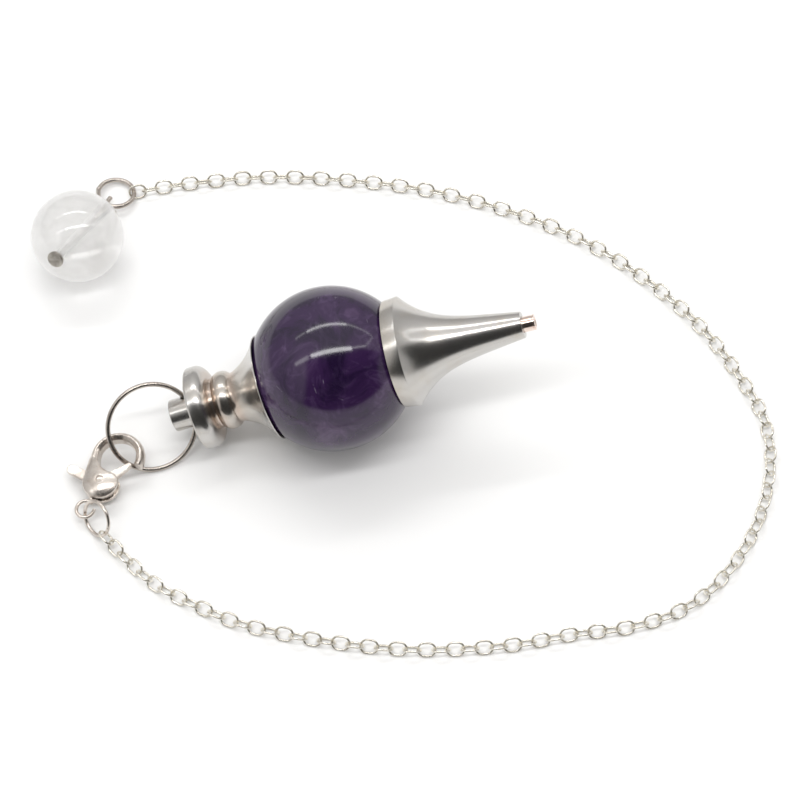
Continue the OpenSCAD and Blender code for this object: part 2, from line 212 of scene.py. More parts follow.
def bow(start, end, sag, steps=24):
    """Shallow arc of (station, radius, 0) that bulges outward by sag, or inward if sag is negative."""
    p, q = Vector(start), Vector(end)
    half = (q - p).length / 2
    along = (q - p).normalized()
    out = Vector((-along.y, along.x)) * math.copysign(1, sag)
    radius = (half * half + sag * sag) / (2 * abs(sag))
    middle = (p + q) / 2 - out * (radius - abs(sag))
    half_turn = math.asin(half / radius)
    curve = []
    for k in range(steps + 1):
        a = half_turn * (2 * k / steps - 1)
        point = middle + (along * math.sin(a) + out * math.cos(a)) * radius
        curve.append((point.x, point.y, 0))
    return curve


def seat(radius, inner, outer, steps=32):
    """Hollow seat for the ball: an arc about the ball's centre, from one radius to another."""
    a0, a1 = math.asin(inner / radius), math.asin(outer / radius)
    angles = [a0 + (a1 - a0) * k / steps for k in range(steps + 1)]
    return [(radius * math.cos(a), radius * math.sin(a), 0) for a in angles]


# %% [markdown]
# ## The stone ball
# The ball is one bead of polished stone, drilled right through. A sphere with a cylinder cut out of it
# would do, but a boolean leaves ragged triangles on a glossy surface, where every flaw shows. A closed
# profile turned on the lathe gives the bore and a clean polished skin in one go.

# %% Outline of a drilled ball
def drilled_ball(radius, bore_r, edge, steps):
    """Closed outline of a ball with a bore, whose two rims are cut to a small slope."""
    start = math.asin((bore_r + edge) / radius)
    angles = [start + (math.pi - 2 * start) * k / steps for k in range(steps + 1)]
    skin = [(radius * math.cos(a), radius * math.sin(a)) for a in angles]
    wall_end = math.sqrt(radius ** 2 - bore_r ** 2) - edge
    return skin + [(-wall_end, bore_r), (wall_end, bore_r)]


# %% Stone ball
BALL_AT, BALL_R = box_middle("stone_ball")
BALL_BORE_R = 1.4
BALL_EDGE = 0.12

top_axis = farthest_way("top_fitting", BALL_AT)
cone_axis = farthest_way("tip_cone", BALL_AT)
bore_axis = (cone_axis - top_axis).normalized()

ball_outline = drilled_ball(BALL_R, BALL_BORE_R, BALL_EDGE, 120)
stone = lathe("stone", ball_outline, BALL_AT, bore_axis, closed=True)
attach(stone, "pendant")
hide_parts("stone_ball")
print("ball centre", [round(c, 3) for c in BALL_AT], "radius", round(BALL_R, 3))

# %% [markdown]
# ## The top fitting
# This is one piece of turned brass under silver plate: a cup, a neck, a round collar, a groove, a
# domed flange and a stub with a cross hole. It could be built from separate discs, but a real lathe
# cuts one continuous outline, so one outline is turned here too. Only the cross hole is a boolean.

# %% Stations and radii of the top fitting
SEAT_R = 10.12
CORE_HOLE_R = 1.0
CUP_RIM_R = 6.55
CUP_IN_R = 6.3
NECK_R = 3.05
FLANGE_R = 5.1
STUB_R = 1.975
NECK_RISE = 1.9
GROOVE_LEN = 0.35
COLLAR_LEN = 2.2
FLANGE_LEN = 2.5
STUB_LEN = 3.1
BORE_PAST_NECK = 1.65
Z_RIM = math.sqrt(SEAT_R ** 2 - CUP_IN_R ** 2)
Z_NECK = SEAT_R + NECK_RISE
Z_COLLAR = Z_NECK + GROOVE_LEN
Z_GROOVE = Z_COLLAR + COLLAR_LEN
Z_FLANGE = Z_GROOVE + GROOVE_LEN
Z_FACE = Z_FLANGE + FLANGE_LEN
Z_STUB = Z_FACE + STUB_LEN
Z_BORE_END = Z_NECK + BORE_PAST_NECK
print("rim, neck, face and stub's end at", [round(z, 2) for z in (Z_RIM, Z_NECK, Z_FACE, Z_STUB)])

# %% Top fitting outline
CUP_HOLLOW = 0.45
COLLAR_SAG = 0.55
FLANGE_DOME = 1.4
DOME_STEPS = 24
FINE_EDGE = 0.06

dome = []
for k in range(DOME_STEPS + 1):
    a = math.radians(90 * k / DOME_STEPS)
    station = Z_FLANGE + FLANGE_DOME * (1 - math.cos(a))
    dome.append((station, NECK_R + (FLANGE_R - NECK_R) * math.sin(a), 0))
top_outline = soften(
    [(Z_BORE_END, 0, 0), (Z_BORE_END, CORE_HOLE_R, FINE_EDGE)]
    + seat(SEAT_R, CORE_HOLE_R, CUP_IN_R)
    + [(Z_RIM, CUP_RIM_R, FINE_EDGE)]
    + bow((Z_RIM + 0.15, CUP_RIM_R - 0.1), (Z_NECK, NECK_R), -CUP_HOLLOW)
    + bow((Z_COLLAR, NECK_R), (Z_GROOVE, NECK_R), COLLAR_SAG)
    + dome
    + [(Z_FACE, FLANGE_R, 0.3), (Z_FACE, STUB_R, 0.05), (Z_STUB, STUB_R, 0.15), (Z_STUB, 0, 0)])
top = lathe("fitting", top_outline, BALL_AT, top_axis)

# %% [markdown]
# ## The cross hole
# The carrier ring passes through a hole drilled across the stub. A hole that runs across the axis
# can't be turned on the lathe. So a thin cylinder stands in for the drill, and a boolean takes it
# away. The boolean is then written into the mesh, and the drill is thrown away.

# %% Drill for the cross hole
HOLE_R = 0.7
HOLE_ROLL = 41
HOLE_FROM_FACE = 0.1
DRILL_HALF = 4
Z_HOLE = Z_FACE + HOLE_FROM_FACE + HOLE_R


def way_across(axis, roll_deg):
    """Direction across an axis: at no roll it lies in the upright plane through the axis."""
    flat = Vector((axis.x, axis.y, 0)).normalized()
    upright = (flat * -axis.z + Vector((0, 0, math.hypot(axis.x, axis.y)))).normalized()
    return Matrix.Rotation(math.radians(roll_deg), 3, axis) @ upright


hole_way = way_across(top_axis, HOLE_ROLL)
drill_outline = [(-DRILL_HALF, 0), (-DRILL_HALF, HOLE_R), (DRILL_HALF, HOLE_R), (DRILL_HALF, 0)]
drill = lathe("drill", drill_outline, BALL_AT + top_axis * Z_HOLE, hole_way, steps=96)

# %% Cut the hole
cut = top.modifiers.new("cross_hole", "BOOLEAN")
cut.operation = "DIFFERENCE"
cut.solver = "EXACT"
cut.object = drill


def settle(obj, crease_deg=35):
    """Writes an object's modifiers into its mesh."""
    bpy.context.view_layer.update()
    shaped = bpy.data.meshes.new_from_object(obj.evaluated_get(bpy.context.evaluated_depsgraph_get()))
    obj.modifiers.clear()
    obj.data = shaped
    obj.data.shade_smooth()
    obj.data.set_sharp_from_angle(angle=math.radians(crease_deg))


settle(top)
bpy.data.objects.remove(drill)
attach(top, "pendant")
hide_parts("top_fitting")
print("top fitting leans", round(math.degrees(math.asin(-top_axis.z)), 2), "degrees down to the table")

# %% [markdown]
# ## The tip cone
# The cone starts as a cup with a sharp shoulder and then runs out in a long concave sweep to a flat
# end. A straight cone with a bevel would look cheap: on the real one the curve is steep at the
# shoulder and dies out slowly. One power curve plus a straight share gives just that.

# %% Tip cone outline
CONE_RIM_R = 6.5
CONE_IN_R = 6.25
SHOULDER_R = 6.7
CONE_END_R = 1.6
CONE_CUP_LEN = 1.7
CONE_LEN = 14.2
CONE_FLARE = 0.6
FLARE_POWER = 5
SWEEP_STEPS = 64
SWEEP_PACE = 1.3
Z_CONE_RIM = math.sqrt(SEAT_R ** 2 - CONE_IN_R ** 2)
Z_SHOULDER = Z_CONE_RIM + CONE_CUP_LEN
Z_CONE_END = Z_SHOULDER + CONE_LEN
Z_CONE_BORE = math.sqrt(SEAT_R ** 2 - CORE_HOLE_R ** 2)

sweep = []
for k in range(SWEEP_STEPS + 1):
    t = (k / SWEEP_STEPS) ** SWEEP_PACE
    left = 1 - t
    share = CONE_FLARE * left ** FLARE_POWER + (1 - CONE_FLARE) * left
    sweep.append((Z_SHOULDER + CONE_LEN * t, CONE_END_R + (SHOULDER_R - CONE_END_R) * share, 0))
sweep[0] = (*sweep[0][:2], 0.05)
sweep[-1] = (*sweep[-1][:2], 0.07)
cone_outline = soften(
    seat(SEAT_R, CORE_HOLE_R, CONE_IN_R)
    + [(Z_CONE_RIM, CONE_RIM_R, FINE_EDGE)] + sweep
    + [(Z_CONE_END, CORE_HOLE_R, 0.03), (Z_CONE_BORE + 0.01, CORE_HOLE_R, 0)])
cone = lathe("cone", cone_outline, BALL_AT, cone_axis, closed=True)
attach(cone, "pendant")
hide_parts("tip_cone")
print("cone: shoulder and end at", round(Z_SHOULDER, 2), round(Z_CONE_END, 2))

# %% [markdown]
# ## The core pin
# One rod runs through everything and shows only as a small stub at the cone's tip, with a faintly
# copper colour. It is turned about the cone's axis first. Then the half inside the top fitting is
# swung onto the fitting's axis, because the real rod is bent a little in the middle of the ball.

# %% Core pin
CORE_R = 0.95
PIN_STANDS_OUT = 1.5
PIN_PAST_NECK = 1.6
DIMPLE_DEPTH = 0.12
Z_PIN_END = Z_CONE_END + PIN_STANDS_OUT
Z_PIN_START = -(Z_NECK + PIN_PAST_NECK)
Z_DIMPLE = Z_PIN_END - DIMPLE_DEPTH

pin_outline = soften(
    [(Z_PIN_START, 0, 0), (Z_PIN_START, CORE_R, 0.1), (0, CORE_R, 0), (Z_PIN_END - 0.32, CORE_R, 0),
     (Z_PIN_END - 0.26, CORE_R - 0.05, 0), (Z_PIN_END - 0.2, CORE_R, 0.02), (Z_PIN_END, CORE_R, 0.08),
     (Z_PIN_END, CORE_R - 0.3, 0.04), (Z_DIMPLE, CORE_R - 0.42, 0.04), (Z_DIMPLE, 0, 0)])
core = lathe("pin", pin_outline, BALL_AT, cone_axis, steps=96)
swing = (-cone_axis).rotation_difference(top_axis).to_matrix()
for v in core.data.vertices:
    arm = v.co / MM - BALL_AT
    if arm.dot(cone_axis) < -0.01:
        v.co = (BALL_AT + swing @ arm) * MM
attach(core, "pendant")
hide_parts("core_pin")
print("core pin bends by", round(math.degrees((-cone_axis).angle(top_axis)), 2), "degrees in the ball")

# %% [markdown]
# ## Wire
# The rings, the bead's pin and the links are all bent from round wire. A curve with a bevel is the
# usual way, but its rings twist where the curve turns in space. Here a ring of points is carried
# along the path and turned only as much as the path turns, so the wire never twists.


# %% Rings of points along a path
def wire_rings(path, radius, sides, closed):
    """Rings of points round a path, each turned from the one before by the path's own turn."""
    count = len(path)
    rings, normal, last_way = [], None, None
    for i in range(count):
        after = path[(i + 1) % count] if closed or i < count - 1 else path[i]
        before = path[i - 1] if closed or i > 0 else path[i]
        way = (after - before).normalized()
        if normal is None:
            normal = way.orthogonal().normalized()
        else:
            normal = last_way.rotation_difference(way).to_matrix() @ normal
        normal = (normal - way * normal.dot(way)).normalized()
        other = way.cross(normal)
        thick = radius[i] if isinstance(radius, list) else radius
        angles = [2 * math.pi * k / sides for k in range(sides)]
        rings.append([path[i] + (normal * math.cos(a) + other * math.sin(a)) * thick for a in angles])
        last_way = way
    return rings


# %% Faces between the rings, and the whole wire
def skin_of(rings, closed, start=0):
    """Faces between rings. A closed wire's last ring is joined to its first where they match best."""
    sides, count = len(rings[0]), len(rings)
    faces = []
    for i in range(count if closed else count - 1):
        shift = 0
        if i == count - 1:
            gaps = [(rings[0][s] - rings[i][0]).length for s in range(sides)]
            shift = gaps.index(min(gaps))
        for k in range(sides):
            n = (k + 1) % sides
            low = [start + i * sides + k, start + i * sides + n]
            base = start + ((i + 1) % count) * sides
            faces.append(low + [base + (n + shift) % sides, base + (k + shift) % sides])
    if not closed:
        faces.append([start + k for k in range(sides)])
        faces.append([start + (count - 1) * sides + k for k in range(sides)])
    return faces


def wire_object(name, path, radius, sides=24, closed=False):
    """One wire as an object."""
    rings = wire_rings(path, radius, sides, closed)
    points = [p for ring in rings for p in ring]
    return solid_object(name, points, skin_of(rings, closed), crease_deg=50)


# %% [markdown]
# ## Where the frame's rings lie
# The finer rings must lie just where the measured ones do. Their places could be typed in, but then
# they would be wrong after the next change to the model. The spread of a ring's corners tells it
# all: it is smallest along the ring's normal, and corners in the ring's plane give both radii.


# %% Principal directions, and the fit of a ring
def main_ways(points):
    """Middle of the points and their directions from the least to the greatest spread."""
    middle = points.mean(axis=0)
    ways = np.linalg.eigh(np.cov((points - middle).T))[1]
    return middle, ways


def ring_fit(name, flatness=0.05):
    """Centre, normal, middle radius and wire radius of a ring-shaped node."""
    points = node_points(name)
    centre, ways = main_ways(points)
    normal = ways[:, 0]
    flat = points[np.abs((points - centre) @ normal) < flatness]
    reach = np.linalg.norm(flat - centre, axis=1)
    inner, outer = reach.min(), reach.max()
    return Vector(centre), Vector(normal), (outer + inner) / 2, (outer - inner) / 2


# %% [markdown]
# ## The carrier ring and the jump ring
# Both are plain rings of wire, closed with a fine butt joint that can be felt with a nail. A torus
# would be the simple answer. Walking round the ring as a wire lets the joint be pinched a little.

# %% Wire rings with a fine joint
JOINT_HALF = 0.05
JOINT_PINCH = 0.9


def wire_ring(name, node, joint_way, steps=220, sides=28):
    """Ring that follows a ring-shaped node, with its joint nearest to a direction."""
    centre, normal, mid_r, wire_r = ring_fit(node)
    out = (joint_way - normal * joint_way.dot(normal)).normalized()
    side = normal.cross(out)
    joint_angle = JOINT_HALF / mid_r
    angles = [2 * math.pi * k / steps for k in range(steps)]
    angles[1], angles[-1] = joint_angle, -joint_angle
    path = [centre + (out * math.cos(a) + side * math.sin(a)) * mid_r for a in angles]
    thick = [wire_r * JOINT_PINCH] + [wire_r] * (steps - 1)
    print(f"{name}: middle radius {mid_r:.3f}, wire radius {wire_r:.3f}")
    return wire_object(name, path, thick, sides, closed=True)


# %% Carrier ring and jump ring
carrier = wire_ring("ring", "carrier_ring", Vector((-0.3, 1, 0)))
jump = wire_ring("link_ring", "jump_ring", Vector((1, -0.4, 0)))
for piece, node in ((carrier, "carrier_ring"), (jump, "jump_ring")):
    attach(piece, "pendant")
    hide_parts(node)

# %% [markdown]
# ## The lobster clasp
# The clasp is cast: two domed shells, a hook and a curled eye that melt into each other with soft
# edges everywhere. Modelling that by hand from loops of faces would take long. The measured solid has
# the right form with hard edges, so it is melted into fine even cells and smoothed like a polished
# casting. Blender's cells have a smallest size, so the copy is worked on in millimetres.


# %% Cast metal from a measured solid
WELD_MM = 0.0005


def cast_copy(name, node, cell, smoothing):
    """Copy of a node's mesh with evenly sized cells and edges rounded by smoothing."""
    mesh = frame["nodes"][node].data.copy()
    mesh.materials.clear()
    shape = bmesh.new()
    shape.from_mesh(mesh)
    bmesh.ops.scale(shape, vec=(1 / MM,) * 3, verts=shape.verts)
    bmesh.ops.remove_doubles(shape, verts=shape.verts, dist=WELD_MM)
    shape.to_mesh(mesh)
    shape.free()
    obj = bpy.data.objects.new(name, mesh)
    bpy.context.scene.collection.objects.link(obj)
    melt = obj.modifiers.new("melt", "REMESH")
    melt.mode = "VOXEL"
    melt.voxel_size = cell
    melt.use_smooth_shade = True
    rub = obj.modifiers.new("rub", "SMOOTH")
    rub.factor = 0.5
    rub.iterations = smoothing
    settle(obj, crease_deg=180)
    obj.data.transform(Matrix.Scale(MM, 4))
    print(f"{name}: {len(obj.data.vertices)} points, {len(obj.data.polygons)} faces")
    return obj


# %% [markdown]
# ## Clasp body and lever
# The lever turns on its own, so it is an object of its own on the frame's second body, and it moves
# with that body in the poses. Its cells are finer and it is smoothed less, so it stays a crisp flat
# piece with play on both sides. One mesh for both would be simpler, but then the clasp never opens.

# %% Clasp body and lever
clasp = cast_copy("clasp", "clasp_body", 0.055, 9)
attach(clasp, "pendant")
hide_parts("clasp_body")

lever = cast_copy("thumb_lever", "clasp_lever", 0.045, 7)
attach(lever, "lever")
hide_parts("clasp_lever")

# %% [markdown]
# ## The rivet
# A short pin holds the lever between the shells. On the real clasp its ends are filed flush and
# polished over, so it shows as a faint round mark. Its ends are turned with a slight crown.

# %% Rivet
CLASP_AXIS = Vector(frame["joints"][0]["axis"]).normalized()
rivet_points = node_points("clasp_rivet")
RIVET_AT = Vector(rivet_points.mean(axis=0))
RIVET_R = 0.4
RIVET_HEAD_R = 0.44
rivet_reach = np.abs((rivet_points - np.array(RIVET_AT)) @ np.array(CLASP_AXIS)).max()
crown = [(0.02, 0, 0), (0.03, RIVET_HEAD_R - 0.25, 0), (0.06, RIVET_HEAD_R - 0.1, 0.03),
         (0.12, RIVET_HEAD_R, 0.03), (0.35, RIVET_HEAD_R, 0), (0.4, RIVET_R, 0)]
rivet_end = [(-rivet_reach + depth, r, rounding) for depth, r, rounding in crown]
rivet_outline = soften(rivet_end + [(-z, r, rounding) for z, r, rounding in reversed(rivet_end)])
rivet = lathe("rivet", rivet_outline, RIVET_AT, CLASP_AXIS, steps=64)
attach(rivet, "pendant")
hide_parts("clasp_rivet")
print("rivet: length", round(2 * rivet_reach, 2), "along", [round(c, 3) for c in CLASP_AXIS])

# %% [markdown]
# ## The cable chain
# Each link is an oval of fine wire, and each one is turned a quarter against the next, so that the
# links lock. An array along a curve would copy one link, but it can't know where each real link lies.
# The frame's chain has them all, so each one is found, measured and wrapped in smooth round wire.


# %% Find the separate links of the frame's chain
WELD_M = 1e-6


def separate_lumps(name):
    """Point sets of a node's separate solids, in millimetres."""
    shape = bmesh.new()
    shape.from_mesh(frame["nodes"][name].data)
    bmesh.ops.remove_doubles(shape, verts=shape.verts, dist=WELD_M)
    shape.verts.ensure_lookup_table()
    seen, lumps = set(), []
    for v in shape.verts:
        if v.index in seen:
            continue
        lump, waiting = [], [v]
        seen.add(v.index)
        while waiting:
            here = waiting.pop()
            lump.append(here.co[:])
            for edge in here.link_edges:
                there = edge.other_vert(here)
                if there.index not in seen:
                    seen.add(there.index)
                    waiting.append(there)
        lumps.append(np.array(lump) / MM)
    shape.free()
    return lumps


lumps = separate_lumps("chain")
print("links:", len(lumps))

# %% [markdown]
# ## One link
# A real link is bent round an oval rod: two half circles with short straights between them. An
# ellipse would be shorter to write, but its ends are too pointed to hold the next link's wire.

# %% One oval link of wire
LINK_L = 2.4
LINK_W = 1.9
LINK_WIRE_R = 0.14
LINK_STEPS = 14
LINK_SIDES = 10


def link_path(centre, along, across):
    """Middle line of an oval link: two half circles joined by short straights."""
    bend_r = LINK_W / 2 - LINK_WIRE_R
    half = (LINK_L - LINK_W) / 2
    path = []
    for end, turn in ((1, 0), (-1, math.pi)):
        for k in range(LINK_STEPS + 1):
            a = math.pi * (k / LINK_STEPS - 0.5) + turn
            reach = end * half + bend_r * math.cos(a)
            path.append(centre + along * reach + across * bend_r * math.sin(a))
    return path


# %% [markdown]
# ## All the links
# Each link gets its own place from the frame: its longest spread runs along the link, and the next
# one runs across it. A hundred objects would clutter the scene, so all links go into one mesh.

# %% All links in one mesh
link_points, link_faces = [], []
for lump in lumps:
    middle, ways = main_ways(lump)
    path = link_path(Vector(middle), Vector(ways[:, 2]), Vector(ways[:, 1]))
    rings = wire_rings(path, LINK_WIRE_R, LINK_SIDES, closed=True)
    link_faces += skin_of(rings, closed=True, start=len(link_points))
    link_points += [p for ring in rings for p in ring]
chain = solid_object("cable_chain", link_points, link_faces, crease_deg=60)
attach(chain, "pendant")
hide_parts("chain")

# %% [markdown]
# ## The bead's pin
# A head pin runs through the end bead and is bent by hand into a loop, and the cut end of the loop
# turns inward. The frame's pin is made of straight and round stretches. The finer one is a single
# wire along a path with soft bends, so that the light runs along it without a break.

# %% Places of the bead and its pin
BEAD_AT, BEAD_R = box_middle("end_bead")
PIN_R = 0.3
PIN_HEADING = 23.5
PIN_REACH = 5.85
EYE_R = 2.3
EYE_TILT = 9
EYE_SIDE = -0.24
EYE_LIFT = 0.25
EYE_START = 205
EYE_SWEEP = 308
eye_z = PIN_R + EYE_LIFT + EYE_R * math.sin(math.radians(EYE_TILT))
pin_dip = math.degrees(math.asin((BEAD_R - eye_z) / (BEAD_R + PIN_REACH)))
bore_way = turning(-90 - pin_dip, 0, -PIN_HEADING) @ Vector((0, 0, 1))
side_way = turning(0, 0, -PIN_HEADING) @ Vector((1, 0, 0))
EYE_AT = BEAD_AT + bore_way * (BEAD_R + PIN_REACH) + side_way * EYE_SIDE
eye_turn = turning(-EYE_TILT, 0, -PIN_HEADING)


def eye_point(past_start_deg, share=1):
    """Point of the loop, by its angle past the loop's start and its share of the loop's radius."""
    a = math.radians(EYE_START - past_start_deg)
    return EYE_AT + eye_turn @ Vector((math.cos(a), math.sin(a), 0)) * (EYE_R * share)


print("pin dips", round(pin_dip, 2), "degrees; loop's middle", [round(c, 2) for c in EYE_AT])

# %% [markdown]
# ## A soft path
# The wire was bent over round pliers, so it has no sudden corner where the straight goes over into
# the loop, nor where the cut end turns in. A curve object with handles would be bent by eye. A
# smooth line through a few known points gives the same softness and stays tied to the numbers.


# %% Smooth line through points
def smooth_path(points, steps=4):
    """Curve through the points, a few steps between each two."""
    curve = []
    for i in range(len(points) - 1):
        p, q = points[max(i - 1, 0)], points[i]
        r, s = points[i + 1], points[min(i + 2, len(points) - 1)]
        for k in range(steps):
            t = k / steps
            curve.append((2 * q + (r - p) * t + (2 * p - 5 * q + 4 * r - s) * t * t
                          + (3 * q - p - 3 * r + s) * t ** 3) / 2)
    return curve + [points[-1]]


# %% The bead's pin and its head
HEAD_R = 1.05
HEAD_T = 0.4
HEAD_FIT = 0.03
HEAD_EDGE = 0.12

head_at = BEAD_AT - bore_way * (BEAD_R + HEAD_FIT + HEAD_T / 2)
straight = [BEAD_AT + bore_way * z for z in (-2, BEAD_R - 0.6, BEAD_R + 0.4)]
loop = [eye_point(a) for a in range(8, EYE_SWEEP - 16, 7)]
tail = [eye_point(EYE_SWEEP + a, share) for a, share in ((-6, 0.9), (-1, 0.66), (3, 0.45))]
pin_path = [head_at] + smooth_path(straight + loop + tail)
bead_wire = wire_object("bead_wire", pin_path, PIN_R)
head_outline = soften([(-HEAD_T / 2, 0, 0), (-HEAD_T / 2, HEAD_R, HEAD_EDGE),
                       (HEAD_T / 2, HEAD_R, HEAD_EDGE), (HEAD_T / 2, 0, 0)])
head = lathe("bead_wire_head", head_outline, head_at, bore_way, steps=96)
for piece in (bead_wire, head):
    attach(piece, "pendant")
    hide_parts("bead_pin")

# %% [markdown]
# ## The end bead
# The small bead is foggy, colourless stone, polished outside and rough in its bore. The bore matters
# here, because light shows it through the stone. So it is turned with its bore, as the large ball is.

# %% End bead
BEAD_BORE_R = 0.45
BEAD_EDGE = 0.08
bead_outline = drilled_ball(BEAD_R, BEAD_BORE_R, BEAD_EDGE, 96)
bead = lathe("foggy_bead", bead_outline, BEAD_AT, bore_way, closed=True, steps=160)
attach(bead, "pendant")
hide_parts("end_bead")

# %% [markdown]
# ## Writing finishes as nodes
# A finish is a small network of nodes. Building it by clicking is fine once, but code can be read
# and changed. One helper adds a node and fills or links its inputs by name. Another gives the place on
# the piece in millimetres, so that a pattern's scale can be thought of in real size. The rest are
# short names for the nodes that come up again and again.


# %% Add a node, and start a finish
def add(tree, kind, inputs=None, **settings):
    """Adds a node. Inputs are values, or outputs of other nodes, by name or number."""
    made = tree.nodes.new("ShaderNode" + kind)
    for key, value in settings.items():
        setattr(made, key, value)
    for key, value in (inputs or {}).items():
        if isinstance(value, bpy.types.NodeSocket):
            tree.links.new(value, made.inputs[key])
        else:
            made.inputs[key].default_value = value
    return made


def new_finish(name):
    """Material with an empty shader, its node tree and the place in millimetres."""
    finish = bpy.data.materials.new(name)
    finish.use_nodes = True
    tree = finish.node_tree
    shader = tree.nodes["Principled BSDF"]
    place = add(tree, "TexCoord").outputs["Object"]
    in_mm = add(tree, "VectorMath", {0: place, "Scale": 1 / MM}, operation="SCALE").outputs[0]
    return finish, tree, shader, in_mm


# %% Patterns and sums
def noise(tree, place, scale, detail=3, roughness=0.55, distortion=0):
    """Soft noise from 0 to 1."""
    return add(tree, "TexNoise", {"Vector": place, "Scale": scale, "Detail": detail,
                                  "Roughness": roughness, "Distortion": distortion}).outputs[0]


def ramp(tree, value, stops):
    """Colour ramp from a list of (place, colour) stops."""
    made = add(tree, "ValToRGB", {"Fac": value})
    made.color_ramp.interpolation = "EASE"
    while len(made.color_ramp.elements) < len(stops):
        made.color_ramp.elements.new(0.5)
    for element, (at, colour) in zip(made.color_ramp.elements, stops):
        element.position = at
        element.color = (*colour, 1)
    return made.outputs["Color"]


def spread(tree, value, low, high, to_low, to_high):
    """Maps a range of a value to another range, clamped at both ends."""
    return add(tree, "MapRange", {"Value": value, "From Min": low, "From Max": high,
                                  "To Min": to_low, "To Max": to_high}).outputs[0]


def combine(tree, kind, first, second):
    """Sum, difference or product of two values."""
    return add(tree, "Math", {0: first, 1: second}, operation=kind).outputs[0]


def weighted(tree, first, share, second, other_share):
    """Sum of two values, each times its share."""
    return combine(tree, "ADD", combine(tree, "MULTIPLY", first, share),
                   combine(tree, "MULTIPLY", second, other_share))


def wire_up(tree, shader, **sources):
    """Links outputs to the shader's inputs, by the input's name with _ for a blank."""
    for key, source in sources.items():
        tree.links.new(source, shader.inputs[key.replace("_", " ")])


def dress(obj, finish):
    """Gives an object one finish."""
    obj.data.materials.clear()
    obj.data.materials.append(finish)
    print(f"{obj.name} wears {finish.name}, {len(finish.node_tree.nodes)} nodes")


# %% [markdown]
# ## Polished silver plate
# The fittings are turned, plated and buffed. They mirror the room, but not perfectly: buffing leaves
# faint rings round the axis, and handling leaves soft patches that are a little duller and warmer.
# Mirror metal with flat values looks like plastic foil. The rings come from noise that changes only
# along the axis, and the patches from wide noise that moves roughness and colour together.

# %% Polished silver plate
NO_TINT = (1, 1, 1)
TARNISH = (0.96, 0.93, 0.89)
RING_SHARE, GRAIN_SHARE = 0.75, 0.25
PLATE_RELIEF_MM = 0.004


def silver_plate(name, axis, tints_and_shade):
    """Silver plate turned about an axis through the ball's centre, tinted and given painted shade by
    station.
    """
    finish, tree, shader, place = new_finish(name)
    arm = add(tree, "VectorMath", {0: place, 1: tuple(BALL_AT)}, operation="SUBTRACT").outputs[0]
    station = add(tree, "VectorMath", {0: arm, 1: tuple(axis)}, operation="DOT_PRODUCT").outputs["Value"]
    # Painted shade: the stops can make the plate darker and warmer at chosen stations.
    tint = ramp(tree, spread(tree, station, Z_RIM, Z_PIN_END, 0, 1), tints_and_shade)
    patches = noise(tree, place, 0.32, detail=4, distortion=0.6)
    tarnish = ramp(tree, patches, [(0.45, NO_TINT), (0.75, TARNISH)])
    colour = add(tree, "MixRGB", {"Fac": 1, "Color1": tint, "Color2": tarnish}, blend_type="MULTIPLY")
    rings = add(tree, "TexNoise", {"W": station, "Scale": 7, "Detail": 6, "Roughness": 0.7},
                noise_dimensions="1D").outputs[0]
    grain = noise(tree, place, 9, detail=5, roughness=0.7)
    dull = combine(tree, "ADD", spread(tree, patches, 0.35, 0.7, 0.2, 0.25),
                   spread(tree, grain, 0.5, 0.8, 0, 0.04))
    relief = weighted(tree, rings, RING_SHARE, grain, GRAIN_SHARE)
    bump = add(tree, "Bump", {"Height": relief, "Strength": 0.35, "Distance": PLATE_RELIEF_MM * MM})
    shader.inputs["Metallic"].default_value = 1
    wire_up(tree, shader, Base_Color=colour.outputs[0], Roughness=dull, Normal=bump.outputs[0])
    return finish


# %% [markdown]
# ## Tints and painted shade along the fittings
# The grooves, the hollow of the cup and the cone's cup by the ball get a warmer, darker tint, which is
# painted shade. Painting that by hand would need a flat map. Here the tint follows the station on the
# axis.

# %% Tints and painted shade along the fittings
# The first tint is the plate's own; the warmer, darker two are painted shade for the grooves, the cup's
# hollow and the cone's cup by the ball.
BRIGHT = (0.6, 0.585, 0.565)
GROOVE_SHADE = (0.6, 0.51, 0.445)
HALF_SHADE = (0.58, 0.55, 0.51)


def at_stations(*tints):
    """Ramp stops from (station, tint) pairs, as shares of the way from the rim to the pin's end."""
    return [((station - Z_RIM) / (Z_PIN_END - Z_RIM), tint) for station, tint in tints]


# Painted shade: darker, warmer tints at the neck, the groove and the hollow of the cup.
dress(top, silver_plate("top_silver", top_axis, at_stations(
    (Z_RIM, BRIGHT), (Z_NECK - 1.2, HALF_SHADE), (Z_NECK, GROOVE_SHADE), (Z_COLLAR + 0.5, HALF_SHADE), (Z_GROOVE, GROOVE_SHADE),
    (Z_FLANGE + 0.7, BRIGHT), (Z_STUB, BRIGHT))))
# Painted shade: darker, warmer tint on the cone's cup by the ball.
dress(cone, silver_plate("cone_silver", cone_axis, at_stations(
    (Z_RIM, HALF_SHADE), (Z_SHOULDER + 0.5, BRIGHT), (Z_CONE_END, BRIGHT))))

# %% [markdown]
# ## Tumbled metal
# The wires and the clasp are plated too, but they are tumbled and not turned, so their marks run in
# every direction. One recipe with a few numbers serves them all: the two tints, how dull it is, and
# how strong and how wide the unevenness is. A recipe for each would only repeat the same nodes.


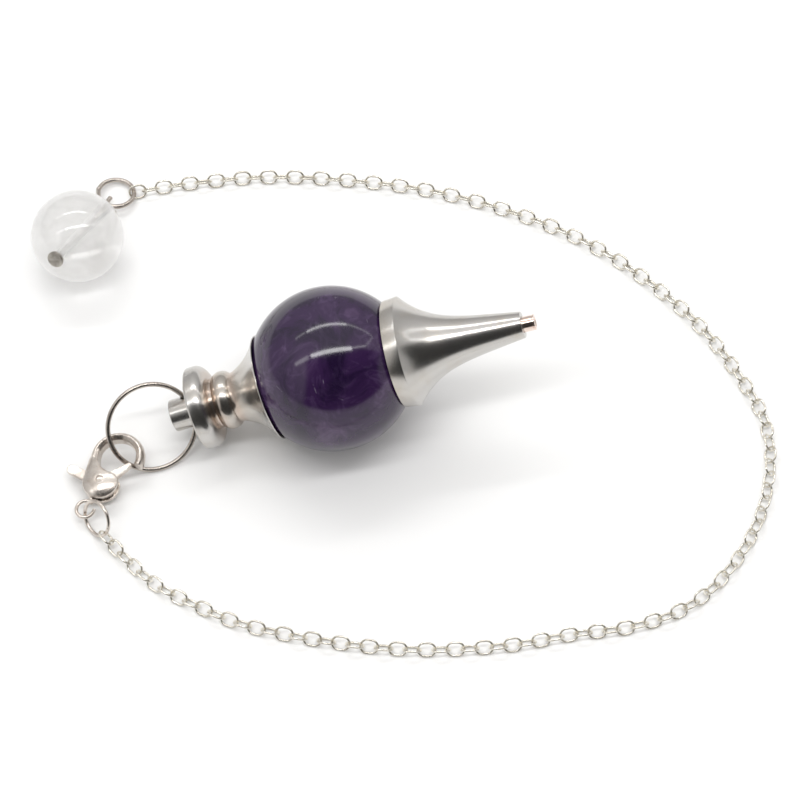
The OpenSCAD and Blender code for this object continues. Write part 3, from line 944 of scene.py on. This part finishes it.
# %% Tumbled metal
def tumbled_metal(name, bright, dark, dull_low, dull_high, relief_mm, wave_scale):
    """Plated metal with marks in every direction."""
    finish, tree, shader, place = new_finish(name)
    patches = noise(tree, place, 0.7, detail=4, distortion=0.4)
    grain = noise(tree, place, 14, detail=5, roughness=0.65)
    waves = noise(tree, place, wave_scale, detail=2)
    colour = ramp(tree, patches, [(0.35, bright), (0.75, dark)])
    dull = combine(tree, "ADD", spread(tree, patches, 0.3, 0.75, dull_low, dull_high),
                   spread(tree, grain, 0.45, 0.8, 0, 0.07))
    relief = combine(tree, "ADD", waves, combine(tree, "MULTIPLY", grain, 0.2))
    bump = add(tree, "Bump", {"Height": relief, "Strength": 0.6, "Distance": relief_mm * MM})
    shader.inputs["Metallic"].default_value = 1
    wire_up(tree, shader, Base_Color=colour, Roughness=dull, Normal=bump.outputs[0])
    return finish


# %% [markdown]
# ## Wire, clasp, chain and pin
# The carrier ring and the bead's wire have darkened with wear. The head of that wire is given the darkest
# tint.
# The clasp and its jump ring are warmer and lighter, the chain is lightest and creamy, and the core
# pin shows some copper. Seen close, these five tints are what sets the small pieces apart.

# %% Wire, clasp, chain and pin
ring_plate = tumbled_metal("ring_plate", (0.56, 0.51, 0.465), (0.4, 0.35, 0.315), 0.2, 0.3, 0.01, 1.5)
clasp_plate = tumbled_metal("clasp_plate", (0.75, 0.69, 0.635), (0.52, 0.46, 0.41), 0.22, 0.3, 0.02, 0.9)
chain_plate = tumbled_metal("chain_plate", (0.88, 0.845, 0.765), (0.68, 0.64, 0.555), 0.18, 0.28, 0.01, 2)
pin_plate = tumbled_metal("pin_copper", (0.9, 0.78, 0.71), (0.8, 0.63, 0.55), 0.1, 0.18, 0.01, 2)
head_plate = tumbled_metal("darkest_head", (0.5, 0.47, 0.425), (0.26, 0.24, 0.215), 0.3, 0.5, 0.03, 2.2)
for piece, finish in ((carrier, ring_plate), (bead_wire, ring_plate), (head, head_plate),
                      (clasp, clasp_plate), (lever, clasp_plate), (rivet, clasp_plate),
                      (jump, clasp_plate), (chain, chain_plate), (core, pin_plate)):
    dress(piece, finish)

# %% [markdown]
# ## The dark violet stone
# The stone is deep violet, almost black where it is clear, with cloudy lilac veils and a few tiny
# flaws inside, whose flash is a painted glint. It could be made of real glass with a mist inside, but
# that takes many samples and looks noisy. The veils are painted as layers of noise under a hard polish
# instead. The polish gives the sharp lamps and the pale rim, which come from the shader and the light
# alone.

# %% Clouds and veils of the stone
DEEP = (0.012, 0.004, 0.026)
VIOLET = (0.03, 0.011, 0.052)
LILAC = (0.066, 0.034, 0.094)
VEIL = (0.17, 0.11, 0.23)

violet, tree, shader, place = new_finish("violet_stone")
drift = noise(tree, place, 0.11, detail=2)
shift = add(tree, "VectorMath", {0: drift, "Scale": 6.0}, operation="SCALE").outputs[0]
moved = add(tree, "VectorMath", {0: place, 1: shift}, operation="ADD").outputs[0]
clouds = noise(tree, moved, 0.13, detail=5, roughness=0.58, distortion=0.5)
veils = noise(tree, moved, 0.42, detail=6, roughness=0.62, distortion=1.4)
body_colour = ramp(tree, clouds, [(0.4, DEEP), (0.52, VIOLET), (0.66, LILAC)])
veil_share = combine(tree, "MULTIPLY", spread(tree, veils, 0.5, 0.8, 0, 0.5),
                     spread(tree, clouds, 0.42, 0.6, 0.2, 1))
veiled = add(tree, "MixRGB", {"Fac": veil_share, "Color1": body_colour, "Color2": (*VEIL, 1)})
print("clouds and veils:", len(tree.nodes), "nodes")

# %% [markdown]
# ## Flaws and polish of the stone
# Light flashes from a few healed cracks, and that flash is painted into the colour as a pale glint. The
# skin has a hard polish with tiny pits. Cracks could be thin meshes inside the ball, but only a
# transparent stone would show them. The edges between the cells of a pattern are just such thin sheets,
# and a second noise leaves only a few of them.

# %% Flaws and polish of the stone
# Pale tint of the painted glint on the cracks.
CRACK_GLINT = (0.4, 0.36, 0.44)
PIT_MM = 0.006

cells = add(tree, "TexVoronoi", {"Vector": moved, "Scale": 0.16, "Randomness": 1},
            feature="DISTANCE_TO_EDGE")
cracks = spread(tree, cells.outputs["Distance"], 0, 0.012, 0.35, 0)
few = spread(tree, noise(tree, place, 0.5, detail=3), 0.62, 0.7, 0, 1)
# Painted glint: the few crack lines get a pale tint that stands for light flashing from them.
glint_flecked = add(tree, "MixRGB", {"Fac": combine(tree, "MULTIPLY", cracks, few), "Color1": veiled.outputs[0],
                               "Color2": (*CRACK_GLINT, 1)})
polish = spread(tree, veils, 0.4, 0.8, 0.1, 0.15)
pits = noise(tree, place, 1.1, detail=6, roughness=0.7)
bump = add(tree, "Bump", {"Height": pits, "Strength": 0.15, "Distance": PIT_MM * MM})
shader.inputs["IOR"].default_value = 1.54
wire_up(tree, shader, Base_Color=glint_flecked.outputs[0], Roughness=polish, Normal=bump.outputs[0])
dress(stone, violet)

# %% [markdown]
# ## The foggy bead
# The end bead is milky but lets the drilled tube show through. Clear glass would show a sharp
# upside-down table, and plain white would look like chalk. So most of the light passes, slightly
# blurred, the rest is scattered white at the skin, and a thin hard coat keeps the polished
# highlights. Fog and streaks vary how much light gets through.

# %% Foggy colourless stone
MILK = (0.95, 0.943, 0.932)
CLEAR = (0.985, 0.982, 0.978)

foggy, tree, shader, place = new_finish("foggy_stone")
fog = noise(tree, place, 0.25, detail=2, distortion=0.8)
streaks = noise(tree, place, 0.5, detail=3, distortion=1.5)
shade = weighted(tree, fog, 0.65, streaks, 0.35)
colour = ramp(tree, shade, [(0.35, MILK), (0.65, CLEAR)])
through = spread(tree, shade, 0.35, 0.65, 0.78, 0.88)
rough = spread(tree, fog, 0.3, 0.7, 0.1, 0.16)
shader.inputs["IOR"].default_value = 1.33
shader.inputs["Coat Weight"].default_value = 1
shader.inputs["Coat Roughness"].default_value = 0.1
shader.inputs["Coat IOR"].default_value = 1.5
wire_up(tree, shader, Base_Color=colour, Transmission_Weight=through, Roughness=rough)
dress(bead, foggy)

# %% [markdown]
# ## The bead's ground bore
# A drill leaves a rough white wall, and that wall is what draws the tube inside the bead. A tube of
# its own could be put in the bore, but it would be one piece more than the real bead has. The bore's
# own faces get a second finish instead, and they are found by their distance from the axis.

# %% The bead's ground bore
ground = new_finish("ground_bore")[0]
wall = ground.node_tree.nodes["Principled BSDF"]
wall.inputs["Base Color"].default_value = (1, 1, 1, 1)
wall.inputs["Roughness"].default_value = 0.6
wall.inputs["Transmission Weight"].default_value = 0.6
bead.data.materials.append(ground)
bore_faces = []
for face in bead.data.polygons:
    arm = face.center / MM - BEAD_AT
    if (arm - bore_way * arm.dot(bore_way)).length < BEAD_BORE_R + 0.01:
        bore_faces.append(face)
for face in bore_faces:
    face.material_index = 1
print("faces of the bead's ground bore:", len(bore_faces))

# %% [markdown]
# ## The table
# A sheet of matt white board lies under the pendant. It catches the soft shadows, and the polished
# metal mirrors it. A pure white plane would do, but real board has a faint tooth and tone.

# %% Table
TABLE_HALF = 900
TOOTH_MM = 0.02
SHADED = (0.93, 0.93, 0.925)
PALE = (0.96, 0.96, 0.96)

corners = [(-TABLE_HALF, -TABLE_HALF, 0), (TABLE_HALF, -TABLE_HALF, 0),
           (TABLE_HALF, TABLE_HALF, 0), (-TABLE_HALF, TABLE_HALF, 0)]
table = solid_object("table", corners, [[0, 1, 2, 3]])
board, tree, shader, place = new_finish("white_board")
tooth = noise(tree, place, 0.8, detail=5)
tone = ramp(tree, noise(tree, place, 0.02, detail=3), [(0.3, SHADED), (0.7, PALE)])
bump = add(tree, "Bump", {"Height": tooth, "Strength": 0.2, "Distance": TOOTH_MM * MM})
matt = spread(tree, tooth, 0.3, 0.7, 0.6, 0.75)
wire_up(tree, shader, Base_Color=tone, Roughness=matt, Normal=bump.outputs[0])
dress(table, board)

# %% [markdown]
# ## The room
# Polished metal shows its surroundings more than itself. A bare lamp would leave it black, so the
# pendant stands in a pale room with a dark side towards the camera, which draws the dark bands along
# the cone. The room is a world shader that looks only at directions. A photograph of a room would do
# too, but its every edge would show in the metal.

# %% A pale room with one dark side
ROOM_LOW = 0.52
ROOM_HIGH = 0.82
DARK = 0.03

world = bpy.data.worlds.new("pale_room")
bpy.context.scene.world = world
world.use_nodes = True
tree = world.node_tree
tree.nodes.clear()
x_way, y_way, z_way = add(tree, "SeparateXYZ", {0: add(tree, "TexCoord").outputs["Generated"]}).outputs


def fade(value, low, high):
    """0 below low, 1 above high, smooth between."""
    return add(tree, "MapRange", {"Value": value, "From Min": low, "From Max": high},
               interpolation_type="SMOOTHSTEP").outputs[0]


border = weighted(tree, z_way, -0.1, x_way, 0.2)
nearer = combine(tree, "SUBTRACT", border, y_way)
dark_side = fade(x_way, -0.62, -0.5)
for mask in (fade(combine(tree, "MULTIPLY", x_way, -1), -0.96, -0.9),
             fade(nearer, -0.03, 0.04), fade(z_way, -0.02, 0.03)):
    dark_side = combine(tree, "MULTIPLY", dark_side, mask)
room_glow = spread(tree, z_way, 0.2, 0.75, ROOM_LOW, ROOM_HIGH)
mirrored_glow = add(tree, "Mix", {0: dark_side, 2: room_glow, 3: DARK}).outputs[0]
print("room:", len(tree.nodes), "nodes")

# %% [markdown]
# ## What each kind of ray meets
# Mirrored rays meet the room. Light on dull things comes from a dimmer sky, which keeps the shadows
# soft, and light that has passed through the foggy bead is an even white. The camera itself sees
# plain white where it looks past the table. One world for all would be truer to a real room, but a
# studio photographer does the same with cards and screens.

# %% What each kind of ray meets
SOFT_LOW = 0.15
SOFT_HIGH = 0.72
THROUGH = 0.84

path = add(tree, "LightPath").outputs
soft_glow = spread(tree, z_way, 0, 0.8, SOFT_LOW, SOFT_HIGH)
glow = add(tree, "Mix", {0: path["Is Glossy Ray"], 2: soft_glow, 3: mirrored_glow}).outputs[0]
glow = add(tree, "Mix", {0: path["Is Transmission Ray"], 2: glow, 3: THROUGH}).outputs[0]
room = add(tree, "Background", {"Strength": glow, "Color": (1, 0.99, 0.975, 1)}).outputs[0]
plain = add(tree, "Background", {"Color": (1, 1, 1, 1), "Strength": 1}).outputs[0]
shown = add(tree, "MixShader", {0: path["Is Camera Ray"], 1: room, 2: plain}).outputs[0]
add(tree, "OutputWorld", {0: shown})
print("world:", len(tree.nodes), "nodes")

# %% [markdown]
# ## The lamps
# Two rows of long lamps hang from the ceiling. Their mirror images are the bright lines on the ball
# and along the cone, so each row is laid where its line falls, with a bright middle and dimmer ends.
# One large soft light from behind makes the shadow in front, and it is hidden from the metal, where
# it would leave a square. A lamp's power is worked out from how bright it should look.


# %% Two rows of long lamps and one soft light
def area_light(name, place_mm, size_mm, radiance, heading=0, aim_mm=None, mirrored=True):
    """Rectangular lamp that faces the table, or a point, with its brightness as seen from there."""
    data = bpy.data.lights.new(name, "AREA")
    data.shape = "RECTANGLE"
    data.size, data.size_y = size_mm[0] * MM, size_mm[1] * MM
    data.energy = radiance * math.pi * data.size * data.size_y
    lamp = bpy.data.objects.new(name, data)
    bpy.context.scene.collection.objects.link(lamp)
    lamp.location = Vector(place_mm) * MM
    lamp.rotation_euler = (0, 0, heading)
    if aim_mm:
        lamp.rotation_euler = (Vector(aim_mm) - Vector(place_mm)).to_track_quat("-Z", "Y").to_euler()
    lamp.visible_camera = False
    lamp.visible_glossy = mirrored
    return lamp


LAMP_Z = 500


def strip(name, start, end, width, radiance):
    """Long lamp on the ceiling between two places, each given as (x, y) over the ceiling's height."""
    p, q = Vector(start) * LAMP_Z, Vector(end) * LAMP_Z
    middle, run = (p + q) / 2, q - p
    return area_light(name, (*middle, LAMP_Z), (run.length, width), radiance, math.atan2(run.y, run.x))


far_row = [((-1.1, 0.45), (-0.7, 0.5), 30, 3.0), ((-0.65, 0.51), (0.36, 0.69), 40, 9.0),
           ((0.36, 0.69), (1.45, 0.77), 26, 3.5)]
near_row = [((-1.3, -0.43), (-0.6, -0.24), 60, 3.0), ((-0.53, -0.22), (0.49, -0.01), 48, 11.0),
            ((0.5, 0), (1.0, 0.2), 24, 3.5), ((1.0, 0.2), (1.45, 0.72), 20, 3.0)]
lamps = [strip(f"far_lamp_{i}", *lamp) for i, lamp in enumerate(far_row)]
lamps += [strip(f"near_lamp_{i}", *lamp) for i, lamp in enumerate(near_row)]
soft_light = area_light("soft_light", (-160, 420, 520), (420, 420), 1.2, aim_mm=(0, 0, 0), mirrored=False)
bpy.context.scene.view_settings.view_transform = "Standard"
print("lamps:", [lamp.name for lamp in lamps], soft_light.name)
